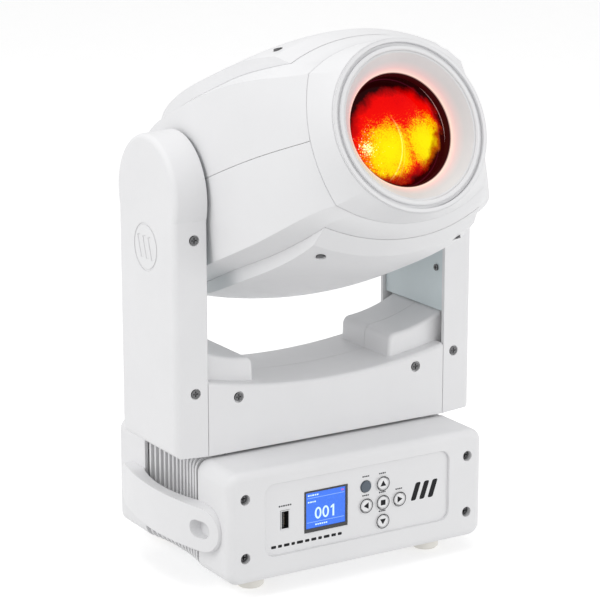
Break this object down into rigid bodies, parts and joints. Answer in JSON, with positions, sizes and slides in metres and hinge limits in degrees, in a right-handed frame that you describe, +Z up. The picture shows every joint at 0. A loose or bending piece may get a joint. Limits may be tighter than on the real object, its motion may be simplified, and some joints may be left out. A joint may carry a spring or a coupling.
{
  "type": "moving head light",
  "caption": "Moving head stage light: a tilting spot head with a round lens, held in a U-shaped yoke that pans on a box base with a display, push buttons, side handles and rubber feet.",
  "frame": {"origin": "on the pan axis, in the plane that the rubber feet stand on", "axes": "+Z up along the pan axis, -Y towards the front panel with the display, +X to the right seen from the front; the head is at rest with its lens facing -Y and raised 22.6 degrees"},
  "size_m": [0.2626, 0.3002, 0.4135],
  "materials": {
    "white_shell": "satin moulded ABS, fine grain",
    "dish_grey": "satin",
    "painted_steel": "satin paint",
    "arm_plate": "satin paint",
    "foot_rubber": "matt",
    "dark_screw": "black oxide",
    "lcd_black": "gloss",
    "lcd_blue": "lit display",
    "socket_metal": "tin plated",
    "button_white": "satin",
    "button_grey": "satin",
    "board_green": "solder mask",
    "socket_black": "moulded",
    "bearing_steel": "ground",
    "machined_aluminium": "turned",
    "motor_black": "satin",
    "belt_rubber": "matt",
    "lens_glass": "coated glass",
    "wheel_dark": "matt",
    "carriage_black": "matt"
  },
  "bodies": {
    "base": {"base_deck": "painted_steel", "base_front_cap": "white_shell", "base_rear_cap": "white_shell", "base_screws": "dark_screw", "base_tray": "painted_steel", "circuit_boards": "board_green", "data_sockets": "socket_black", "handle_left": "white_shell", "handle_right": "white_shell", "lcd_bezel": "lcd_black", "lcd_screen": "lcd_blue", "pan_bearing": "bearing_steel", "pan_fixed_pulley": "machined_aluminium", "power_sockets": "socket_black", "power_supply": "socket_black", "rubber_feet": "foot_rubber", "side_grille_left": "white_shell", "side_grille_right": "white_shell", "usb_port": "socket_metal"},
    "pan_yoke": {"yoke_cover_front": "white_shell", "yoke_cover_rear": "white_shell", "arm_cover_left": "white_shell", "arm_cover_right": "white_shell", "arm_inner_plates": "arm_plate", "yoke_chassis": "painted_steel", "tilt_bearings": "bearing_steel", "yoke_screws": "dark_screw", "pan_spindle": "machined_aluminium", "pan_motor": "motor_black", "pan_belt": "belt_rubber", "tilt_motor": "motor_black", "tilt_belt": "belt_rubber"},
    "pan_pinion": {"pan_motor_pinion": "machined_aluminium"},
    "tilt_pinion": {"tilt_motor_pinion": "machined_aluminium"},
    "head": {"head_shell_upper": "white_shell", "head_shell_lower": "white_shell", "head_top_panel": "white_shell", "head_bottom_panel": "white_shell", "front_collar": "white_shell", "lens_ring": "white_shell", "lens_dish": "dish_grey", "front_lens": "lens_glass", "head_rear_grille": "white_shell", "head_screws": "dark_screw", "tilt_hubs": "machined_aluminium", "head_frame": "painted_steel", "led_engine": "motor_black", "heatsink": "machined_aluminium"},
    "fan_rotor": {"cooling_fan": "motor_black"},
    "colour_disc": {"colour_wheel": "wheel_dark"},
    "gobo_disc": {"gobo_wheel": "wheel_dark"},
    "prism": {"prism_arm": "machined_aluminium"},
    "zoom_group": {"zoom_carriage": "carriage_black"},
    "focus_group": {"focus_carriage": "carriage_black"},
    "key_mode": {"button_mode": "button_grey"},
    "key_up": {"button_up": "button_white"},
    "key_left": {"button_left": "button_white"},
    "key_enter": {"button_enter": "button_white"},
    "key_right": {"button_right": "button_white"},
    "key_down": {"button_down": "button_white"}
  },
  "joints": [
    {"name": "pan", "type": "hinge", "parent": "base", "child": "pan_yoke", "pos_m": [0, 0, 0.1], "axis": [0, 0, 1], "range_deg": [-270, 270]},
    {"name": "tilt", "type": "hinge", "parent": "pan_yoke", "child": "head", "pos_m": [0, 0, 0.2923], "axis": [-1, 0, 0], "range_deg": [-60, 195]},
    {"name": "pan_motor_turn", "type": "hinge", "parent": "pan_yoke", "child": "pan_pinion", "pos_m": [0.082, 0, 0.113], "axis": [0, 0, 1], "range_deg": [-880, 880]},
    {"name": "tilt_motor_turn", "type": "hinge", "parent": "pan_yoke", "child": "tilt_pinion", "pos_m": [-0.12275, 0, 0.14], "axis": [-1, 0, 0], "range_deg": [-202, 652]},
    {"name": "fan_spin", "type": "hinge", "parent": "head", "child": "fan_rotor", "pos_m": [0, 0.09509, 0.25272], "axis": [0, -0.9232, 0.3843], "continuous": true},
    {"name": "colour_spin", "type": "hinge", "parent": "head", "child": "colour_disc", "pos_m": [0, -0.01168, 0.26683], "axis": [0, -0.9232, 0.3843], "continuous": true},
    {"name": "gobo_spin", "type": "hinge", "parent": "head", "child": "gobo_disc", "pos_m": [0, 0.00207, 0.32068], "axis": [0, -0.9232, 0.3843], "continuous": true},
    {"name": "prism_swing", "type": "hinge", "parent": "head", "child": "prism", "pos_m": [0.042, -0.02615, 0.28152], "axis": [0, -0.9232, 0.3843], "range_deg": [-83, 3]},
    {"name": "zoom_slide", "type": "slide", "parent": "head", "child": "zoom_group", "axis": [0, -0.9232, 0.3843], "range_m": [-0.008, 0.014]},
    {"name": "focus_slide", "type": "slide", "parent": "head", "child": "focus_group", "axis": [0, -0.9232, 0.3843], "range_m": [-0.008, 0.008]},
    {"name": "press_mode", "type": "slide", "parent": "base", "child": "key_mode", "axis": [0, 1, 0], "range_m": [0, 0.001], "stiffness_N_per_m": 900, "springref_m": -0.0006},
    {"name": "press_up", "type": "slide", "parent": "base", "child": "key_up", "axis": [0, 1, 0], "range_m": [0, 0.001], "stiffness_N_per_m": 900, "springref_m": -0.0006},
    {"name": "press_left", "type": "slide", "parent": "base", "child": "key_left", "axis": [0, 1, 0], "range_m": [0, 0.001], "stiffness_N_per_m": 900, "springref_m": -0.0006},
    {"name": "press_enter", "type": "slide", "parent": "base", "child": "key_enter", "axis": [0, 1, 0], "range_m": [0, 0.001], "stiffness_N_per_m": 900, "springref_m": -0.0006},
    {"name": "press_right", "type": "slide", "parent": "base", "child": "key_right", "axis": [0, 1, 0], "range_m": [0, 0.001], "stiffness_N_per_m": 900, "springref_m": -0.0006},
    {"name": "press_down", "type": "slide", "parent": "base", "child": "key_down", "axis": [0, 1, 0], "range_m": [0, 0.001], "stiffness_N_per_m": 900, "springref_m": -0.0006}
  ],
  "couplings": [
    {"joint": "pan_motor_turn", "follows": "pan", "ratio": -3.25},
    {"joint": "tilt_motor_turn", "follows": "tilt", "ratio": 3.3333}
  ]
}
